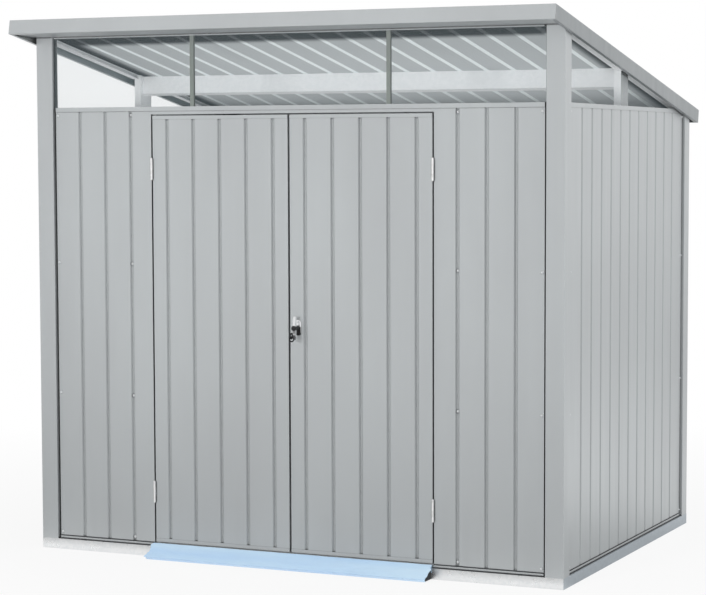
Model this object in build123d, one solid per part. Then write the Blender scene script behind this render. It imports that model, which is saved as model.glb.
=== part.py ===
"""Metal storage shed with a pent roof, double doors and a glazed strip under the roof.

Frame: X runs left to right along the front, Y runs from the front to the rear, Z is up.
The origin lies on the ground under the middle of the roof's outline. Lengths are millimetres.
Each wall is drawn in its own frame: x along the wall, y inwards from the faces of the corner
posts, z up. The roof is drawn flat, x across, y down the slope, z square to the sheets, and tilted.
"""

from build123d import *
import math
import os

# Overall sizes
WALL_WIDTH = 2390.0
WALL_DEPTH = 1705.0
WALL_TOP = 1900.0
ROOF_PITCH = 10.6
FRONT_OVERHANG = 168.0
SIDE_OVERHANG = 21.0
REAR_OVERHANG = 78.0

# Sheet gauges and clearances
PANEL_GAUGE = 0.6
TRIM_GAUGE = 0.8
POST_GAUGE = 1.0
FRAME_GAUGE = 1.2
SEAT_GAP = 0.2
BEND_RADIUS = 1.5
OVERRUN = 10.0

# Ribbed wall sheet
RIB_PITCH = 123.5
GROOVE_MOUTH = 18.0
GROOVE_FLOOR = 8.0
GROOVE_DEPTH = 7.0
PANEL_RECESS = 12.0
RETURN_LAP = 6.0
END_FLAT = 95.0

# Galvanised base frame
BASE_HEIGHT = 44.0
BASE_DEPTH = 60.0

# Bottom tracks and top rails that hold the wall sheets
TRACK_HEIGHT = 12.0
RAIL_HEIGHT = 18.0
RAIL_PROUD = 2.5
RAIL_CLEARANCE = 1.2

# Corner posts, middle posts and the roof beam
POST_WIDTH = 87.0
POST_DEPTH = 82.0
POST_STEP_WIDTH = 9.0
POST_LIP = 4.0
MID_POST_WIDTH = 31.0
MID_POST_DEPTH = 96.0
MID_POST_SETBACK = 774.0
BEAM_SETBACK = 36.0
BEAM_DEPTH = 50.0
BEAM_HEIGHT = 80.0

# Roof sheets, fascia, soffit and rafters
ROOF_RIB_HEIGHT = 14.0
ROOF_RIB_CREST = 10.0
ROOF_RIB_BASE = 26.0
MIDDLE_SHEET_RIB_COUNT = 6
FASCIA_HEIGHT = 60.0
FASCIA_TOP_LIP = 30.0
FASCIA_RISE = 10.0
FASCIA_BOTTOM_LIP = 16.0
SOFFIT_FALL = 7.5
SOFFIT_TURN = 8.0
RAFTER_HEIGHT = 18.0
RAFTER_WIDTH = 30.0

# Glazed strip
PANE_GAUGE = 3.0
PANE_SETBACK = 16.0
PANE_TAIL = 4.6
HEAD_HEIGHT = 12.0
BAR_OFFSET = 446.0
BAR_WIDTH = 18.0
BAR_LAP = 4.5
BAR_WEB = 3.0

# Doorway and door leaves
DOORWAY_WIDTH = 1285.0
DOOR_SIDE_GAP = 7.0
DOOR_MEETING_GAP = 9.0
DOOR_TOP_GAP = 6.0
DOOR_BOTTOM_GAP = 6.0
DOOR_EDGE_FLAT = 100.0
DOOR_GROOVE_COUNT = 5
DOOR_RETURN = 28.0
DOOR_CAP_LIP = 14.0
HEADER_HEIGHT = 14.0
JAMB_WIDTH = 40.0
JAMB_DEPTH = 30.0
MIDDLE_RAIL_BOTTOM = 860.0
MIDDLE_RAIL_HEIGHT = 40.0
MIDDLE_RAIL_DEPTH = 18.0

# Door hinges
HINGE_HEIGHT = 88.0
HINGE_BOTTOM_INSET = 214.0
HINGE_TOP_INSET = 222.0
KNUCKLE_LAP = 1.0
KNUCKLE_CLEARANCE = 1.0
KNUCKLE_GAP = 0.5
KNUCKLE_SHARE = 0.45
PIN_RADIUS = 2.5
PIN_CLEARANCE = 0.08
HINGE_LEAF = 1.0
HINGE_LEAF_DEPTH = 18.0

# Latch on the right door leaf
LATCH_OFFSET = 39.5
LATCH_LEVEL = 993.0
PLATE_HEIGHT = 64.0
PLATE_WIDTH = 28.0
PLATE_GAUGE = 4.0
SPINDLE_RADIUS = 6.0
SPINDLE_CLEARANCE = 0.3
COLLAR_RADIUS = 9.5
LEVER_STAND_OFF = 28.0
LEVER_LENGTH = 96.0
LEVER_WIDTH = 15.0
LEVER_GAUGE = 12.0
LEVER_BEVEL = 3.0
CAM_LENGTH = 75.0
CAM_WIDTH = 16.0
CAM_GAUGE = 4.0
CAM_CLEARANCE = 6.0
KEY_DROP = 30.0
KEY_GAUGE = 2.2
KEY_SHANK_LENGTH = 8.0
KEY_SHANK_HEIGHT = 8.0
KEY_BOW_RADIUS = 13.0
KEY_EYE_RADIUS = 6.0

# Entry ramp
RAMP_REACH = 80.0
RAMP_TOP = 57.0
RAMP_EDGE = 10.0
RAMP_TOE = 12.0
RAMP_FLANGE = 30.0
RAMP_GAUGE = 1.5
RAMP_SIDE_GAP = 4.5

# Places worked out from the sizes above
PITCH_SIN = math.sin(math.radians(ROOF_PITCH))
PITCH_COS = math.cos(math.radians(ROOF_PITCH))
PITCH_TAN = PITCH_SIN / PITCH_COS
ROOF_WIDTH = WALL_WIDTH + 2 * SIDE_OVERHANG
ROOF_RUN = WALL_DEPTH + FRONT_OVERHANG + REAR_OVERHANG
ROOF_LENGTH = ROOF_RUN / PITCH_COS
FASCIA_KICK = FASCIA_HEIGHT * PITCH_SIN
ROOF_FRONT_Y = FASCIA_KICK - (ROOF_RUN + FASCIA_KICK) / 2
FRONT_Y = ROOF_FRONT_Y + FRONT_OVERHANG
REAR_Y = FRONT_Y + WALL_DEPTH
MIDDLE_Y = (FRONT_Y + REAR_Y) / 2
SHEET_DEPTH = FASCIA_RISE + ROOF_RIB_HEIGHT + PANEL_GAUGE
PANEL_RETURN = GROOVE_DEPTH + RETURN_LAP
RAIL_FACE = PANEL_RECESS - RAIL_PROUD
RAIL_DEPTH = PANEL_RECESS + PANEL_RETURN + RAIL_CLEARANCE + TRIM_GAUGE
RAIL_BOTTOM = WALL_TOP - RAIL_HEIGHT
POST_INNER_X = WALL_WIDTH / 2 - POST_WIDTH
SIDE_FRONT_Y = FRONT_Y + POST_DEPTH
SIDE_REAR_Y = REAR_Y - POST_DEPTH
SIDE_BAY = SIDE_REAR_Y - SIDE_FRONT_Y
ROOF_RISE = (SIDE_REAR_Y - ROOF_FRONT_Y) * PITCH_TAN
ROOF_TOP = WALL_TOP + PANE_TAIL + SEAT_GAP + SHEET_DEPTH / PITCH_COS + ROOF_RISE
MID_POST_X = WALL_WIDTH / 2 - RAIL_DEPTH
MID_POST_Y = FRONT_Y + MID_POST_SETBACK
DOORWAY_EDGE = DOORWAY_WIDTH / 2
DOORWAY_TOP = RAIL_BOTTOM - HEADER_HEIGHT
DOOR_BOTTOM = BASE_HEIGHT + TRACK_HEIGHT + DOOR_BOTTOM_GAP
DOOR_TOP = DOORWAY_TOP - DOOR_TOP_GAP
DOOR_INNER_EDGE = DOOR_MEETING_GAP / 2
DOOR_OUTER_EDGE = DOORWAY_EDGE - DOOR_SIDE_GAP
DOOR_BACK = PANEL_RECESS + DOOR_RETURN
KNUCKLE_RADIUS = DOOR_SIDE_GAP / 2 + KNUCKLE_LAP
HINGE_LEVELS = (DOOR_BOTTOM + HINGE_BOTTOM_INSET, DOOR_TOP - HINGE_TOP_INSET)
HINGE_X = DOORWAY_EDGE - DOOR_SIDE_GAP / 2
HINGE_Y = FRONT_Y + PANEL_RECESS - KNUCKLE_RADIUS - KNUCKLE_CLEARANCE

# Where each wall's own frame, and the roof's, sits in the shed
FRONT = Pos(0, FRONT_Y, 0)
REAR = Pos(0, REAR_Y, 0) * Rot(0, 0, 180)
RIGHT = Pos(WALL_WIDTH / 2, MIDDLE_Y, 0) * Rot(0, 0, 90)
LEFT = Pos(-WALL_WIDTH / 2, MIDDLE_Y, 0) * Rot(0, 0, -90)
ROOF = Pos(0, ROOF_FRONT_Y, ROOF_TOP) * Rot(-ROOF_PITCH, 0, 0)

NODES = {}


def box(low_x, high_x, low_y, high_y, low_z, high_z):
    """A plain block between two corners."""
    block = Box(high_x - low_x, high_y - low_y, high_z - low_z)
    return Pos((low_x + high_x) / 2, (low_y + high_y) / 2, (low_z + high_z) / 2) * block


def left_offset(points, gauge):
    """The points of a folded line moved to its left by the sheet's gauge, with mitred bends."""
    steps = [(b[0] - a[0], b[1] - a[1]) for a, b in zip(points, points[1:])]
    normals = [(-dy / math.hypot(dx, dy), dx / math.hypot(dx, dy)) for dx, dy in steps]
    before = [normals[0]] + normals
    after = normals + [normals[-1]]
    moved = []
    for (x, y), a, b in zip(points, before, after):
        stretch = gauge / (1 + a[0] * b[0] + a[1] * b[1])
        moved.append((x + (a[0] + b[0]) * stretch, y + (a[1] + b[1]) * stretch))
    return moved


def turns_left(points):
    """Whether each bend of a folded line turns to the left."""
    corners = zip(points, points[1:], points[2:])
    return [(b[0] - a[0]) * (c[1] - b[1]) > (b[1] - a[1]) * (c[0] - b[0]) for a, b, c in corners]


def folded(points, gauge, length, plane, bend=0):
    """A sheet of this gauge, folded along the points with rounded bends, run out square to the plane."""
    inner, outer = bend, bend + gauge if bend else 0
    moved, lefts = left_offset(points, gauge), turns_left(points)
    right_side = FilletPolyline(*points, radius=[outer if left else inner for left in lefts])
    left_side = FilletPolyline(*moved, radius=[inner if left else outer for left in lefts])
    ends = [Line(points[0], moved[0]), Line(points[-1], moved[-1])]
    outline = make_face([*right_side.edges(), *left_side.edges(), *ends])
    return extrude(plane * outline, length)


def folded_up(points, gauge, bottom, top, bend=0):
    """A sheet folded in plan and standing between two levels."""
    return folded(points, gauge, top - bottom, Plane.XY.offset(bottom), bend)


def folded_along(points, gauge, length, bend=0):
    """A sheet folded in section, points as (y, z), centred along x."""
    return folded(points, gauge, length, Plane.YZ.offset(-length / 2), bend)


def mitred(strip, length, reach, low, high):
    """A strip along x with both ends cut to meet its neighbours at the corners."""
    half = length / 2
    plan = [(-half, 0), (half, 0), (half - reach, reach), (reach - half, reach)]
    cutter = extrude(Plane.XY.offset(low) * make_face(Polyline(*plan, close=True)), high - low)
    return strip & cutter


def roof_underside(y):
    """Height of the underside of the roof sheets above a place on the ground."""
    return ROOF_TOP - (y - ROOF_FRONT_Y) * PITCH_TAN - SHEET_DEPTH / PITCH_COS


def roof_point(along, above):
    """The shed's (y, z) of a place given down the slope and square to the sheets."""
    y = ROOF_FRONT_Y + along * PITCH_COS + above * PITCH_SIN
    return y, ROOF_TOP - along * PITCH_SIN + above * PITCH_COS


def under_roof(shape):
    """The shape cut off just below the roof sheets."""
    reach = ROOF_LENGTH + ROOF_WIDTH
    floor = -SHEET_DEPTH - SEAT_GAP
    return shape - ROOF * box(-reach, reach, -reach, reach, floor, floor + reach)


def rib_centres(low, high, count):
    """Middles of a row of ribs or grooves, centred between two edges."""
    middle = (low + high) / 2
    return [middle + (i - (count - 1) / 2) * RIB_PITCH for i in range(count)]


def rib_count(width):
    """How many ribs or grooves fit a sheet of this width."""
    return 1 + int((width - 2 * END_FLAT) // RIB_PITCH)


def ribbed_line(low, high, centres, turn):
    """The outer line of a ribbed wall sheet in plan, with both edges turned inwards."""
    face, floor = PANEL_RECESS, PANEL_RECESS + GROOVE_DEPTH
    line = [(low, face + turn), (low, face)]
    for centre in centres:
        line.append((centre - GROOVE_MOUTH / 2, face))
        line.append((centre - GROOVE_FLOOR / 2, floor))
        line.append((centre + GROOVE_FLOOR / 2, floor))
        line.append((centre + GROOVE_MOUTH / 2, face))
    return line + [(high, face), (high, face + turn)]


def wall_sheet(low, high, centres, rail_top):
    """A ribbed wall sheet standing in its track and reaching up into its top rail."""
    bottom = BASE_HEIGHT + TRIM_GAUGE + SEAT_GAP
    top = rail_top - TRIM_GAUGE - SEAT_GAP
    return folded_up(ribbed_line(low, high, centres, PANEL_RETURN), PANEL_GAUGE, bottom, top)


def base_rail(length):
    """One side of the base frame: a channel lying open inwards, mitred at the corners."""
    line = [(BASE_DEPTH, BASE_HEIGHT), (0, BASE_HEIGHT), (0, 0), (BASE_DEPTH, 0)]
    strip = folded_along(line, FRAME_GAUGE, length)
    return mitred(strip, length, BASE_DEPTH, -OVERRUN, BASE_HEIGHT + OVERRUN)


def wall_track(length):
    """The trough on the base frame that the wall sheets stand in."""
    low, high = BASE_HEIGHT, BASE_HEIGHT + TRACK_HEIGHT
    line = [(RAIL_FACE, high), (RAIL_FACE, low), (RAIL_DEPTH, low), (RAIL_DEPTH, high)]
    return folded_along(line, TRIM_GAUGE, length)


def top_rail(length, face, height, top):
    """A capping turned down over both faces of what stands below it."""
    low = top - height
    line = [(RAIL_DEPTH, low), (RAIL_DEPTH, top), (face, top), (face, low)]
    return folded_along(line, TRIM_GAUGE, length)


def tube(width, depth, bottom, top):
    """An upright square tube with one corner of its plan at the origin."""
    bore_x, bore_y = width - FRAME_GAUGE, depth - FRAME_GAUGE
    bore = box(FRAME_GAUGE, bore_x, FRAME_GAUGE, bore_y, bottom - OVERRUN, top + OVERRUN)
    return box(0, width, 0, depth, bottom, top) - bore


def add_base():
    """Galvanised base frame, bottom tracks and the entry ramp."""
    NODES["base_rail_front"] = FRONT * base_rail(WALL_WIDTH)
    NODES["base_rail_rear"] = REAR * base_rail(WALL_WIDTH)
    NODES["base_rail_left"] = LEFT * base_rail(WALL_DEPTH)
    NODES["base_rail_right"] = RIGHT * base_rail(WALL_DEPTH)
    front_bay = 2 * POST_INNER_X
    tracks = [FRONT * wall_track(front_bay), REAR * wall_track(front_bay)]
    tracks += [LEFT * wall_track(SIDE_BAY), RIGHT * wall_track(SIDE_BAY)]
    NODES["wall_tracks"] = Compound(tracks)
    line = [
        (0, RAMP_TOP - RAMP_FLANGE),
        (0, RAMP_TOP),
        (-RAMP_REACH, RAMP_EDGE),
        (RAMP_TOE - RAMP_REACH, 0),
    ]
    NODES["door_ramp"] = FRONT * folded_along(line, RAMP_GAUGE, DOORWAY_WIDTH - 2 * RAMP_SIDE_GAP)


def add_posts():
    """Folded corner posts, middle posts and the beam that the middle posts carry."""
    step = RAIL_DEPTH - POST_LIP
    face_width, face_depth = POST_WIDTH - POST_STEP_WIDTH, POST_DEPTH - POST_STEP_WIDTH
    line = [
        (RAIL_DEPTH, POST_DEPTH),
        (step, POST_DEPTH),
        (step, face_depth),
        (0, face_depth),
        (0, 0),
        (face_width, 0),
        (face_width, step),
        (POST_WIDTH, step),
        (POST_WIDTH, RAIL_DEPTH),
    ]
    front_left = folded_up(line, POST_GAUGE, BASE_HEIGHT, ROOF_TOP, BEND_RADIUS)
    front_left = Pos(-WALL_WIDTH / 2, FRONT_Y, 0) * front_left
    rear_left = mirror(front_left, about=Plane.XZ.offset(-MIDDLE_Y))
    post = tube(MID_POST_WIDTH, MID_POST_DEPTH, BASE_HEIGHT, ROOF_TOP)
    left_mid = Pos(-MID_POST_X, MID_POST_Y, 0) * post
    for name, shape in (("front", front_left), ("rear", rear_left)):
        NODES[f"{name}_left_post"] = under_roof(shape)
        NODES[f"{name}_right_post"] = under_roof(mirror(shape, about=Plane.YZ))
    right_mid = mirror(left_mid, about=Plane.YZ)
    NODES["mid_posts"] = Compound([under_roof(left_mid), under_roof(right_mid)])
    front = (FRONT_OVERHANG + MID_POST_SETBACK + BEAM_SETBACK) / PITCH_COS
    back, top = front + BEAM_DEPTH, -SHEET_DEPTH
    section = [(back, top), (front, top), (front, top - BEAM_HEIGHT), (back, top - BEAM_HEIGHT)]
    span = 2 * (MID_POST_X - MID_POST_WIDTH)
    NODES["mid_beam"] = ROOF * folded_along(section, FRAME_GAUGE, span)


def add_walls():
    """Ribbed wall sheets, their top rails, the door jambs and the door header."""
    steps = rib_count(POST_INNER_X - DOORWAY_EDGE)
    centres = [DOORWAY_EDGE + DOOR_EDGE_FLAT + i * RIB_PITCH for i in range(steps)]
    mirrored = [-centre for centre in centres[::-1]]
    NODES["front_right_wall"] = FRONT * wall_sheet(DOORWAY_EDGE, POST_INNER_X, centres, WALL_TOP)
    NODES["front_left_wall"] = FRONT * wall_sheet(-POST_INNER_X, -DOORWAY_EDGE, mirrored, WALL_TOP)
    rear_top = roof_underside(REAR_Y - RAIL_FACE) - SEAT_GAP
    bay = 2 * POST_INNER_X
    rear_grooves = rib_centres(-bay / 2, bay / 2, rib_count(bay))
    NODES["rear_wall"] = REAR * wall_sheet(-bay / 2, bay / 2, rear_grooves, rear_top)
    side_grooves = rib_centres(-SIDE_BAY / 2, SIDE_BAY / 2, rib_count(SIDE_BAY))
    side = wall_sheet(-SIDE_BAY / 2, SIDE_BAY / 2, side_grooves, WALL_TOP)
    NODES["left_wall"] = LEFT * side
    NODES["right_wall"] = RIGHT * side
    NODES["front_sill_rail"] = FRONT * top_rail(bay, RAIL_FACE, RAIL_HEIGHT, WALL_TOP)
    side_rail = top_rail(SIDE_BAY, RAIL_FACE, RAIL_HEIGHT, WALL_TOP)
    NODES["side_top_rails"] = Compound([LEFT * side_rail, RIGHT * side_rail])
    NODES["rear_top_rail"] = REAR * top_rail(bay, RAIL_FACE, RAIL_HEIGHT, rear_top)
    jamb = FRONT * Pos(DOORWAY_EDGE, RAIL_DEPTH, 0) * tube(JAMB_WIDTH, JAMB_DEPTH, BASE_HEIGHT, WALL_TOP)
    NODES["door_jambs"] = Compound([mirror(jamb, about=Plane.YZ), jamb])
    face, back = PANEL_RECESS, RAIL_DEPTH + JAMB_DEPTH
    line = [(back, RAIL_BOTTOM), (face, RAIL_BOTTOM), (face, DOORWAY_TOP), (back, DOORWAY_TOP)]
    NODES["door_header"] = FRONT * folded_along(line, TRIM_GAUGE, DOORWAY_WIDTH)


def roof_sheet(low, high, centres):
    """A roof sheet with raised ribs that run down the slope."""
    foot, crest = -SHEET_DEPTH, -FASCIA_RISE - PANEL_GAUGE
    line = [(low, foot)]
    for centre in centres:
        line.append((centre - ROOF_RIB_BASE / 2, foot))
        line.append((centre - ROOF_RIB_CREST / 2, crest))
        line.append((centre + ROOF_RIB_CREST / 2, crest))
        line.append((centre + ROOF_RIB_BASE / 2, foot))
    line.append((high, foot))
    length = ROOF_LENGTH - 2 * TRIM_GAUGE
    return ROOF * folded(line, PANEL_GAUGE, length, Plane.XZ.offset(-TRIM_GAUGE - length))


def fascia(length):
    """One fascia trim: a hemmed lip on the ribs, the face and a lip turned in below, ends mitred."""
    lip, foot = FASCIA_TOP_LIP, -FASCIA_HEIGHT
    line = [(lip, -FASCIA_RISE), (lip, 0), (0, 0), (0, foot), (FASCIA_BOTTOM_LIP, foot)]
    strip = folded_along(line, TRIM_GAUGE, length, BEND_RADIUS)
    return mitred(strip, length, FASCIA_TOP_LIP, foot - OVERRUN, OVERRUN)


def rafter(side, low_y, high_y):
    """A rafter under a roof edge: a web against the pane, its edges turned in all round."""
    top = [(y, roof_underside(y) - SEAT_GAP) for y in (low_y, high_y)]
    foot = [(y, z - RAFTER_HEIGHT) for y, z in top[::-1]]
    outline = make_face(Polyline(*top, *foot, close=True))
    depth = WALL_TOP
    outline -= Pos((low_y + high_y) / 2, WALL_TOP - depth / 2) * Rectangle(2 * (high_y - low_y), depth)
    face = side * (WALL_WIDTH / 2 - PANE_SETBACK - PANE_GAUGE)
    body = extrude(Plane.YZ.offset(face) * outline, -side * RAFTER_WIDTH)
    hollow = offset(outline, -FRAME_GAUGE)
    return body - extrude(Plane.YZ.offset(face - side * FRAME_GAUGE) * hollow, -side * RAFTER_WIDTH)


def add_roof():
    """Roof sheets, the fascia and soffit round their edges and the rafters over the side walls."""
    edge = ROOF_WIDTH / 2 - TRIM_GAUGE
    seam = MIDDLE_SHEET_RIB_COUNT * RIB_PITCH / 2
    middle = rib_centres(-seam, seam, MIDDLE_SHEET_RIB_COUNT)
    outer = [seam + RIB_PITCH / 2 + i * RIB_PITCH for i in range(rib_count(edge - seam))]
    NODES["roof_middle_sheet"] = roof_sheet(-seam, seam, middle)
    NODES["roof_right_sheet"] = roof_sheet(seam, edge, outer)
    NODES["roof_left_sheet"] = roof_sheet(-edge, -seam, [-centre for centre in outer[::-1]])
    half, length = ROOF_WIDTH / 2, ROOF_LENGTH
    NODES["front_fascia"] = ROOF * fascia(ROOF_WIDTH)
    NODES["rear_fascia"] = ROOF * Pos(0, length, 0) * Rot(0, 0, 180) * fascia(ROOF_WIDTH)
    NODES["right_fascia"] = ROOF * Pos(half, length / 2, 0) * Rot(0, 0, 90) * fascia(length)
    NODES["left_fascia"] = ROOF * Pos(-half, length / 2, 0) * Rot(0, 0, -90) * fascia(length)
    seat = TRIM_GAUGE + SEAT_GAP
    edge_seat = seat + BEND_RADIUS
    front_y, front_z = roof_point(edge_seat, seat - FASCIA_HEIGHT)
    rear_y, rear_z = FRONT_Y - SEAT_GAP, front_z - SOFFIT_FALL
    line = [(front_y, front_z), (rear_y, rear_z), (rear_y, rear_z + SOFFIT_TURN)]
    NODES["front_soffit"] = folded_along(line, TRIM_GAUGE, ROOF_WIDTH - 2 * edge_seat)
    mid_rear_y = MID_POST_Y + MID_POST_DEPTH
    spans = ((SIDE_FRONT_Y, MID_POST_Y), (mid_rear_y, SIDE_REAR_Y))
    NODES["rafters"] = Compound([rafter(side, *span) for side in (-1, 1) for span in spans])


def head_top():
    """Top of the rail over the front panes, just below the roof sheets."""
    return roof_underside(FRONT_Y + RAIL_DEPTH) - SEAT_GAP


def glazing_bar(bottom, top):
    """A joining strip between two panes: a cover on each face and a web between the panes."""
    front, back = PANE_SETBACK, PANE_SETBACK + PANE_GAUGE
    half, web = BAR_WIDTH / 2, BAR_WEB / 2
    bar = box(-half, half, front - BAR_LAP, front, bottom, top)
    bar += box(-half, half, back, back + BAR_LAP, bottom, top)
    return bar + box(-web, web, front, back, bottom, top)


def add_glazing():
    """Clear panes over the front and side walls, the bars between them and the front head rail."""
    top = head_top()
    NODES["front_head_rail"] = FRONT * top_rail(2 * POST_INNER_X, 0, HEAD_HEIGHT, top)
    pane_top = top - TRIM_GAUGE - SEAT_GAP
    back = PANE_SETBACK + PANE_GAUGE
    inner, outer = BAR_OFFSET - BAR_WEB / 2, BAR_OFFSET + BAR_WEB / 2
    into_post = POST_STEP_WIDTH - SEAT_GAP
    edge = POST_INNER_X + into_post
    bays = ((-edge, -outer), (-inner, inner), (outer, edge))
    panes = [box(low, high, PANE_SETBACK, back, WALL_TOP, pane_top) for low, high in bays]
    NODES["front_panes"] = Compound([FRONT * pane for pane in panes])
    bar = FRONT * glazing_bar(WALL_TOP, top - HEAD_HEIGHT)
    NODES["glazing_bars"] = Compound([Pos(x, 0, 0) * bar for x in (-BAR_OFFSET, BAR_OFFSET)])
    ends = (SIDE_FRONT_Y - into_post, SIDE_REAR_Y + into_post)
    outline = [(y, WALL_TOP) for y in ends]
    outline += [(y, roof_underside(y) - SEAT_GAP) for y in ends[::-1]]
    side_pane = make_face(Polyline(*outline, close=True))
    left_face = Plane.YZ.offset(PANE_SETBACK - WALL_WIDTH / 2)
    left_pane = extrude(left_face * side_pane, PANE_GAUGE)
    NODES["side_panes"] = Compound([left_pane, mirror(left_pane, about=Plane.YZ)])


def leaf_sheet(low, high):
    """The ribbed face of a door leaf, with deep turned edges at both sides."""
    line = ribbed_line(low, high, rib_centres(low, high, DOOR_GROOVE_COUNT), DOOR_RETURN)
    return FRONT * folded_up(line, PANEL_GAUGE, DOOR_BOTTOM + TRIM_GAUGE, DOOR_TOP - TRIM_GAUGE)


def leaf_rails(low, high):
    """The caps over a door leaf's top and bottom edges and the channel across its back."""
    face, back = PANEL_RECESS, DOOR_BACK
    top, bottom = DOOR_TOP - TRIM_GAUGE, DOOR_BOTTOM + TRIM_GAUGE
    top_lip, bottom_lip = top - DOOR_CAP_LIP, bottom + DOOR_CAP_LIP
    top_cap = [(face, top_lip), (face, top), (back, top), (back, top_lip)]
    bottom_cap = [(back, bottom_lip), (back, bottom), (face, bottom), (face, bottom_lip)]
    front = PANEL_RECESS + GROOVE_DEPTH + PANEL_GAUGE
    rear = front + MIDDLE_RAIL_DEPTH
    low_z, high_z = MIDDLE_RAIL_BOTTOM, MIDDLE_RAIL_BOTTOM + MIDDLE_RAIL_HEIGHT
    channel = [(rear, high_z), (front, high_z), (front, low_z), (rear, low_z)]
    width = high - low
    rails = [folded_along(cap, TRIM_GAUGE, width) for cap in (top_cap, bottom_cap)]
    rails.append(folded_along(channel, FRAME_GAUGE, width - 2 * PANEL_GAUGE))
    return Compound([FRONT * Pos((low + high) / 2, 0, 0) * rail for rail in rails])


def upright_cylinder(radius, low, high):
    """A round bar standing on the origin between two levels."""
    return extrude(Plane.XY.offset(low) * Circle(radius), high - low)


def hinge_leaf(side, low, high):
    """The flat of a hinge: it hangs on the barrel and lies on the edge beside the gap."""
    face = side * DOOR_SIDE_GAP / 2
    inner = face - side * HINGE_LEAF
    return box(min(face, inner), max(face, inner), 0, HINGE_LEAF_DEPTH, low, high)


def hinge_halves(side, level):
    """The fixed half, which holds the pin, and the swinging half of one hinge."""
    low, high = level - HINGE_HEIGHT / 2, level + HINGE_HEIGHT / 2
    swing = HINGE_HEIGHT * KNUCKLE_SHARE / 2
    fixed = upright_cylinder(PIN_RADIUS, low, high)
    for bottom, top in ((low, level - swing - KNUCKLE_GAP), (level + swing + KNUCKLE_GAP, high)):
        fixed += upright_cylinder(KNUCKLE_RADIUS, bottom, top)
        fixed += hinge_leaf(side, bottom, top)
    moving = upright_cylinder(KNUCKLE_RADIUS, level - swing, level + swing)
    moving += hinge_leaf(-side, level - swing, level + swing)
    moving -= upright_cylinder(PIN_RADIUS + PIN_CLEARANCE, low, high)
    place = Pos(side * HINGE_X, HINGE_Y, 0)
    return place * fixed, place * moving


def add_doors():
    """Both door leaves, their rails and their hinges."""
    fixed_halves = []
    for name, side in (("left", -1), ("right", 1)):
        low, high = sorted((side * DOOR_INNER_EDGE, side * DOOR_OUTER_EDGE))
        sheet = leaf_sheet(low, high)
        if side > 0:
            hole = SPINDLE_RADIUS + SPINDLE_CLEARANCE
            sheet -= latch_bar(Circle(hole), PANEL_RECESS - OVERRUN, PANEL_RECESS + OVERRUN)
        NODES[f"{name}_door_leaf"] = sheet
        NODES[f"{name}_door_rails"] = leaf_rails(low, high)
        hinges = [hinge_halves(side, level) for level in HINGE_LEVELS]
        fixed_halves += [fixed for fixed, _ in hinges]
        NODES[f"{name}_door_hinges"] = Compound([moving for _, moving in hinges])
    NODES["frame_hinges"] = Compound(fixed_halves)


def latch_bar(section, start, end):
    """A section run along the latch's axis between two depths from the posts' faces."""
    origin = (LATCH_OFFSET, FRONT_Y + start, LATCH_LEVEL)
    return extrude(Plane(origin, x_dir=(1, 0, 0), z_dir=(0, 1, 0)) * section, end - start)


def add_latch():
    """The latch: a plate on the right leaf, a turning lever with its key, and the cam behind."""
    plate_face = PANEL_RECESS - PLATE_GAUGE
    plate = latch_bar(SlotOverall(PLATE_HEIGHT, PLATE_WIDTH, rotation=90), plate_face, PANEL_RECESS)
    hole = Circle(SPINDLE_RADIUS + SPINDLE_CLEARANCE)
    bore = latch_bar(hole, plate_face - OVERRUN, PANEL_RECESS + OVERRUN)
    NODES["latch_plate"] = plate - bore
    lever_back = PANEL_RECESS - LEVER_STAND_OFF
    lever_face = lever_back - LEVER_GAUGE
    cam_face = DOOR_BACK + CAM_CLEARANCE
    spindle = latch_bar(Circle(SPINDLE_RADIUS), lever_back, cam_face)
    spindle += latch_bar(Circle(COLLAR_RADIUS), lever_back, plate_face - SPINDLE_CLEARANCE)
    NODES["latch_spindle"] = spindle
    lever = latch_bar(SlotOverall(LEVER_LENGTH, LEVER_WIDTH, rotation=90), lever_face, lever_back)
    rim = lever.faces().sort_by(Axis.Y)[0].edges()
    NODES["latch_lever"] = chamfer(rim, LEVER_BEVEL)
    hang = Pos(0, (CAM_LENGTH - CAM_WIDTH) / 2)
    cam = hang * SlotOverall(CAM_LENGTH, CAM_WIDTH, rotation=90)
    NODES["latch_cam"] = latch_bar(cam, cam_face, cam_face + CAM_GAUGE)
    level = LATCH_LEVEL - KEY_DROP
    shank_y = FRONT_Y + lever_face - KEY_SHANK_LENGTH
    shank_length = KEY_SHANK_LENGTH + KEY_BOW_RADIUS
    bow = Pos(shank_y - KEY_BOW_RADIUS, level)
    key = bow * Circle(KEY_BOW_RADIUS)
    key += Pos(FRONT_Y + lever_face - shank_length / 2, level) * Rectangle(shank_length, KEY_SHANK_HEIGHT)
    key -= bow * Circle(KEY_EYE_RADIUS)
    NODES["latch_key"] = extrude(Plane.YZ.offset(LATCH_OFFSET - KEY_GAUGE / 2) * key, KEY_GAUGE)


def main():
    """Builds every piece and writes one STEP file for each."""
    for build in (add_base, add_posts, add_walls, add_roof, add_glazing, add_doors, add_latch):
        build()
    os.makedirs("parts", exist_ok=True)
    for name, shape in NODES.items():
        export_step(shape, f"parts/{name}.step")


main()
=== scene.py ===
import math
import bpy
from mathutils import Matrix, Vector


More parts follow.
